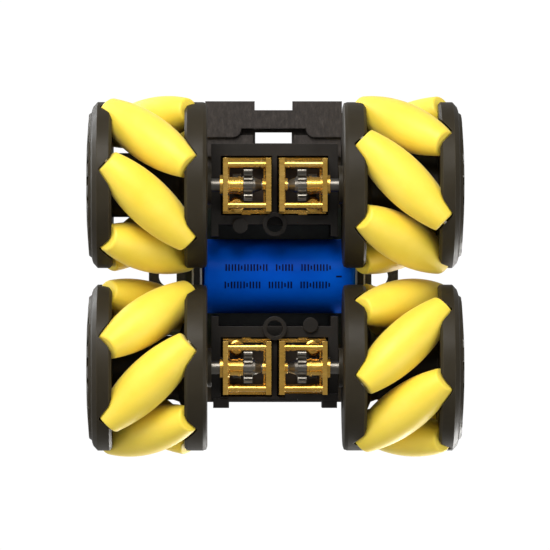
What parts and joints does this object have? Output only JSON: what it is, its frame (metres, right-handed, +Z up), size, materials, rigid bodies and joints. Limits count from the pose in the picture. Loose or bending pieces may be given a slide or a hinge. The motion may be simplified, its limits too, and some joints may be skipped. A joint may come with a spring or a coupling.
{
  "type": "mecanum wheel robot",
  "caption": "Small robot chassis on mecanum wheels with slanted barrel rollers, brass gearmotors, a cell across its middle and a deck with pin holes.",
  "frame": {"origin": "on the ground, at the middle of the model's footprint box", "axes": "+Z up, +Y towards the front lip, +X along the wheel axles"},
  "size_m": [0.0846, 0.081, 0.0594],
  "materials": {
    "hub_plastic": "satin",
    "black_plastic": "satin",
    "roller_rubber": "matte",
    "brass": "polished",
    "steel": "satin",
    "cell_wrap": "gloss",
    "board": "satin",
    "chip": "matte",
    "connector": "satin"
  },
  "bodies": {
    "chassis": {"chassis_frame": "black_plastic", "top_cover": "black_plastic", "controller_board": "board", "board_components": "chip", "connectors": "connector", "battery_cell": "cell_wrap", "battery_holder": "black_plastic", "battery_contacts": "steel", "gearbox_frames": "brass", "motors": "steel", "fasteners": "steel"},
    "front_right_wheel": {"front_right_inner_plate": "hub_plastic", "front_right_outer_plate": "hub_plastic", "front_right_pins": "steel", "front_right_output_shaft": "steel"},
    "front_right_barrel_1": {"front_right_roller_1": "roller_rubber"},
    "front_right_barrel_2": {"front_right_roller_2": "roller_rubber"},
    "front_right_barrel_3": {"front_right_roller_3": "roller_rubber"},
    "front_right_barrel_4": {"front_right_roller_4": "roller_rubber"},
    "front_right_barrel_5": {"front_right_roller_5": "roller_rubber"},
    "front_right_barrel_6": {"front_right_roller_6": "roller_rubber"},
    "front_right_idler_gear": {"front_right_idler": "steel"},
    "front_right_worm_gear": {"front_right_worm": "brass"},
    "front_left_wheel": {"front_left_inner_plate": "hub_plastic", "front_left_outer_plate": "hub_plastic", "front_left_pins": "steel", "front_left_output_shaft": "steel"},
    "front_left_barrel_1": {"front_left_roller_1": "roller_rubber"},
    "front_left_barrel_2": {"front_left_roller_2": "roller_rubber"},
    "front_left_barrel_3": {"front_left_roller_3": "roller_rubber"},
    "front_left_barrel_4": {"front_left_roller_4": "roller_rubber"},
    "front_left_barrel_5": {"front_left_roller_5": "roller_rubber"},
    "front_left_barrel_6": {"front_left_roller_6": "roller_rubber"},
    "front_left_idler_gear": {"front_left_idler": "steel"},
    "front_left_worm_gear": {"front_left_worm": "brass"},
    "rear_right_wheel": {"rear_right_inner_plate": "hub_plastic", "rear_right_outer_plate": "hub_plastic", "rear_right_pins": "steel", "rear_right_output_shaft": "steel"},
    "rear_right_barrel_1": {"rear_right_roller_1": "roller_rubber"},
    "rear_right_barrel_2": {"rear_right_roller_2": "roller_rubber"},
    "rear_right_barrel_3": {"rear_right_roller_3": "roller_rubber"},
    "rear_right_barrel_4": {"rear_right_roller_4": "roller_rubber"},
    "rear_right_barrel_5": {"rear_right_roller_5": "roller_rubber"},
    "rear_right_barrel_6": {"rear_right_roller_6": "roller_rubber"},
    "rear_right_idler_gear": {"rear_right_idler": "steel"},
    "rear_right_worm_gear": {"rear_right_worm": "brass"},
    "rear_left_wheel": {"rear_left_inner_plate": "hub_plastic", "rear_left_outer_plate": "hub_plastic", "rear_left_pins": "steel", "rear_left_output_shaft": "steel"},
    "rear_left_barrel_1": {"rear_left_roller_1": "roller_rubber"},
    "rear_left_barrel_2": {"rear_left_roller_2": "roller_rubber"},
    "rear_left_barrel_3": {"rear_left_roller_3": "roller_rubber"},
    "rear_left_barrel_4": {"rear_left_roller_4": "roller_rubber"},
    "rear_left_barrel_5": {"rear_left_roller_5": "roller_rubber"},
    "rear_left_barrel_6": {"rear_left_roller_6": "roller_rubber"},
    "rear_left_idler_gear": {"rear_left_idler": "steel"},
    "rear_left_worm_gear": {"rear_left_worm": "brass"},
    "switch": {"switch_slider": "connector"}
  },
  "joints": [
    {"name": "front_right_wheel_spin", "type": "hinge", "parent": "chassis", "child": "front_right_wheel", "pos_m": [0.0284, 0.0205, 0.02], "axis": [1, 0, 0], "continuous": true},
    {"name": "front_right_roller_1_spin", "type": "hinge", "parent": "front_right_wheel", "child": "front_right_barrel_1", "pos_m": [0.0284, 0.0167, 0.0058], "axis": [0.7071, 0.683, -0.183], "continuous": true},
    {"name": "front_right_roller_2_spin", "type": "hinge", "parent": "front_right_wheel", "child": "front_right_barrel_2", "pos_m": [0.0284, 0.0063, 0.0162], "axis": [0.7071, 0.183, -0.683], "continuous": true},
    {"name": "front_right_roller_3_spin", "type": "hinge", "parent": "front_right_wheel", "child": "front_right_barrel_3", "pos_m": [0.0284, 0.01011, 0.03039], "axis": [0.7071, -0.5, -0.5], "continuous": true},
    {"name": "front_right_roller_4_spin", "type": "hinge", "parent": "front_right_wheel", "child": "front_right_barrel_4", "pos_m": [0.0284, 0.0243, 0.0342], "axis": [0.7071, -0.683, 0.183], "continuous": true},
    {"name": "front_right_roller_5_spin", "type": "hinge", "parent": "front_right_wheel", "child": "front_right_barrel_5", "pos_m": [0.0284, 0.0347, 0.0238], "axis": [0.7071, -0.183, 0.683], "continuous": true},
    {"name": "front_right_roller_6_spin", "type": "hinge", "parent": "front_right_wheel", "child": "front_right_barrel_6", "pos_m": [0.0284, 0.03089, 0.00961], "axis": [0.7071, 0.5, 0.5], "continuous": true},
    {"name": "front_right_idler_spin", "type": "hinge", "parent": "chassis", "child": "front_right_idler_gear", "pos_m": [0.0085, 0.0205, 0.02506], "axis": [1, 0, 0], "continuous": true},
    {"name": "front_right_worm_spin", "type": "hinge", "parent": "chassis", "child": "front_right_worm_gear", "pos_m": [0.00855, 0.01612, 0.02506], "axis": [0, 0, 1], "continuous": true},
    {"name": "front_left_wheel_spin", "type": "hinge", "parent": "chassis", "child": "front_left_wheel", "pos_m": [-0.0284, 0.0205, 0.02], "axis": [1, 0, 0], "continuous": true},
    {"name": "front_left_roller_1_spin", "type": "hinge", "parent": "front_left_wheel", "child": "front_left_barrel_1", "pos_m": [-0.0284, 0.0214, 0.00533], "axis": [-0.7071, -0.7058, -0.0432], "continuous": true},
    {"name": "front_left_roller_2_spin", "type": "hinge", "parent": "front_left_wheel", "child": "front_left_barrel_2", "pos_m": [-0.0284, 0.03366, 0.01344], "axis": [-0.7071, -0.3155, -0.6328], "continuous": true},
    {"name": "front_left_roller_3_spin", "type": "hinge", "parent": "front_left_wheel", "child": "front_left_barrel_3", "pos_m": [-0.0284, 0.03276, 0.02811], "axis": [-0.7071, 0.3903, -0.5896], "continuous": true},
    {"name": "front_left_roller_4_spin", "type": "hinge", "parent": "front_left_wheel", "child": "front_left_barrel_4", "pos_m": [-0.0284, 0.0196, 0.03467], "axis": [-0.7071, 0.7058, 0.0432], "continuous": true},
    {"name": "front_left_roller_5_spin", "type": "hinge", "parent": "front_left_wheel", "child": "front_left_barrel_5", "pos_m": [-0.0284, 0.00734, 0.02656], "axis": [-0.7071, 0.3155, 0.6328], "continuous": true},
    {"name": "front_left_roller_6_spin", "type": "hinge", "parent": "front_left_wheel", "child": "front_left_barrel_6", "pos_m": [-0.0284, 0.00824, 0.01189], "axis": [-0.7071, -0.3903, 0.5896], "continuous": true},
    {"name": "front_left_idler_spin", "type": "hinge", "parent": "chassis", "child": "front_left_idler_gear", "pos_m": [-0.0085, 0.0205, 0.02506], "axis": [1, 0, 0], "continuous": true},
    {"name": "front_left_worm_spin", "type": "hinge", "parent": "chassis", "child": "front_left_worm_gear", "pos_m": [-0.00855, 0.01612, 0.02506], "axis": [0, 0, 1], "continuous": true},
    {"name": "rear_right_wheel_spin", "type": "hinge", "parent": "chassis", "child": "rear_right_wheel", "pos_m": [0.0284, -0.0205, 0.02], "axis": [1, 0, 0], "continuous": true},
    {"name": "rear_right_roller_1_spin", "type": "hinge", "parent": "rear_right_wheel", "child": "rear_right_barrel_1", "pos_m": [0.0284, -0.02356, 0.00562], "axis": [0.7071, -0.6917, 0.147], "continuous": true},
    {"name": "rear_right_roller_2_spin", "type": "hinge", "parent": "rear_right_wheel", "child": "rear_right_barrel_2", "pos_m": [0.0284, -0.03448, 0.01546], "axis": [0.7071, -0.2185, 0.6725], "continuous": true},
    {"name": "rear_right_roller_3_spin", "type": "hinge", "parent": "rear_right_wheel", "child": "rear_right_barrel_3", "pos_m": [0.0284, -0.03142, 0.02984], "axis": [0.7071, 0.4731, 0.5255], "continuous": true},
    {"name": "rear_right_roller_4_spin", "type": "hinge", "parent": "rear_right_wheel", "child": "rear_right_barrel_4", "pos_m": [0.0284, -0.01744, 0.03438], "axis": [0.7071, 0.6917, -0.147], "continuous": true},
    {"name": "rear_right_roller_5_spin", "type": "hinge", "parent": "rear_right_wheel", "child": "rear_right_barrel_5", "pos_m": [0.0284, -0.00652, 0.02454], "axis": [0.7071, 0.2185, -0.6725], "continuous": true},
    {"name": "rear_right_roller_6_spin", "type": "hinge", "parent": "rear_right_wheel", "child": "rear_right_barrel_6", "pos_m": [0.0284, -0.00958, 0.01016], "axis": [0.7071, -0.4731, -0.5255], "continuous": true},
    {"name": "rear_right_idler_spin", "type": "hinge", "parent": "chassis", "child": "rear_right_idler_gear", "pos_m": [0.0085, -0.0205, 0.02506], "axis": [1, 0, 0], "continuous": true},
    {"name": "rear_right_worm_spin", "type": "hinge", "parent": "chassis", "child": "rear_right_worm_gear", "pos_m": [0.00855, -0.01612, 0.02506], "axis": [0, 0, 1], "continuous": true},
    {"name": "rear_left_wheel_spin", "type": "hinge", "parent": "chassis", "child": "rear_left_wheel", "pos_m": [-0.0284, -0.0205, 0.02], "axis": [1, 0, 0], "continuous": true},
    {"name": "rear_left_roller_1_spin", "type": "hinge", "parent": "rear_left_wheel", "child": "rear_left_barrel_1", "pos_m": [-0.0284, -0.01535, 0.00623], "axis": [-0.7071, 0.6623, 0.2476], "continuous": true},
    {"name": "rear_left_roller_2_spin", "type": "hinge", "parent": "rear_left_wheel", "child": "rear_left_barrel_2", "pos_m": [-0.0284, -0.006, 0.01757], "axis": [-0.7071, 0.1167, 0.6974], "continuous": true},
    {"name": "rear_left_roller_3_spin", "type": "hinge", "parent": "rear_left_wheel", "child": "rear_left_barrel_3", "pos_m": [-0.0284, -0.01115, 0.03134], "axis": [-0.7071, -0.5456, 0.4498], "continuous": true},
    {"name": "rear_left_roller_4_spin", "type": "hinge", "parent": "rear_left_wheel", "child": "rear_left_barrel_4", "pos_m": [-0.0284, -0.02565, 0.03377], "axis": [-0.7071, -0.6623, -0.2476], "continuous": true},
    {"name": "rear_left_roller_5_spin", "type": "hinge", "parent": "rear_left_wheel", "child": "rear_left_barrel_5", "pos_m": [-0.0284, -0.035, 0.02243], "axis": [-0.7071, -0.1167, -0.6974], "continuous": true},
    {"name": "rear_left_roller_6_spin", "type": "hinge", "parent": "rear_left_wheel", "child": "rear_left_barrel_6", "pos_m": [-0.0284, -0.02985, 0.00866], "axis": [-0.7071, 0.5456, -0.4498], "continuous": true},
    {"name": "rear_left_idler_spin", "type": "hinge", "parent": "chassis", "child": "rear_left_idler_gear", "pos_m": [-0.0085, -0.0205, 0.02506], "axis": [1, 0, 0], "continuous": true},
    {"name": "rear_left_worm_spin", "type": "hinge", "parent": "chassis", "child": "rear_left_worm_gear", "pos_m": [-0.00855, -0.01612, 0.02506], "axis": [0, 0, 1], "continuous": true},
    {"name": "power_switch_slide", "type": "slide", "parent": "chassis", "child": "switch", "axis": [0, 1, 0], "range_m": [0, 0.002]}
  ],
  "couplings": [
    {"joint": "front_right_idler_spin", "follows": "front_right_wheel_spin", "ratio": -1.7778},
    {"joint": "front_right_worm_spin", "follows": "front_right_wheel_spin", "ratio": 35.556},
    {"joint": "front_left_idler_spin", "follows": "front_left_wheel_spin", "ratio": -1.7778},
    {"joint": "front_left_worm_spin", "follows": "front_left_wheel_spin", "ratio": 35.556},
    {"joint": "rear_right_idler_spin", "follows": "rear_right_wheel_spin", "ratio": -1.7778},
    {"joint": "rear_right_worm_spin", "follows": "rear_right_wheel_spin", "ratio": 35.556},
    {"joint": "rear_left_idler_spin", "follows": "rear_left_wheel_spin", "ratio": -1.7778},
    {"joint": "rear_left_worm_spin", "follows": "rear_left_wheel_spin", "ratio": 35.556}
  ]
}
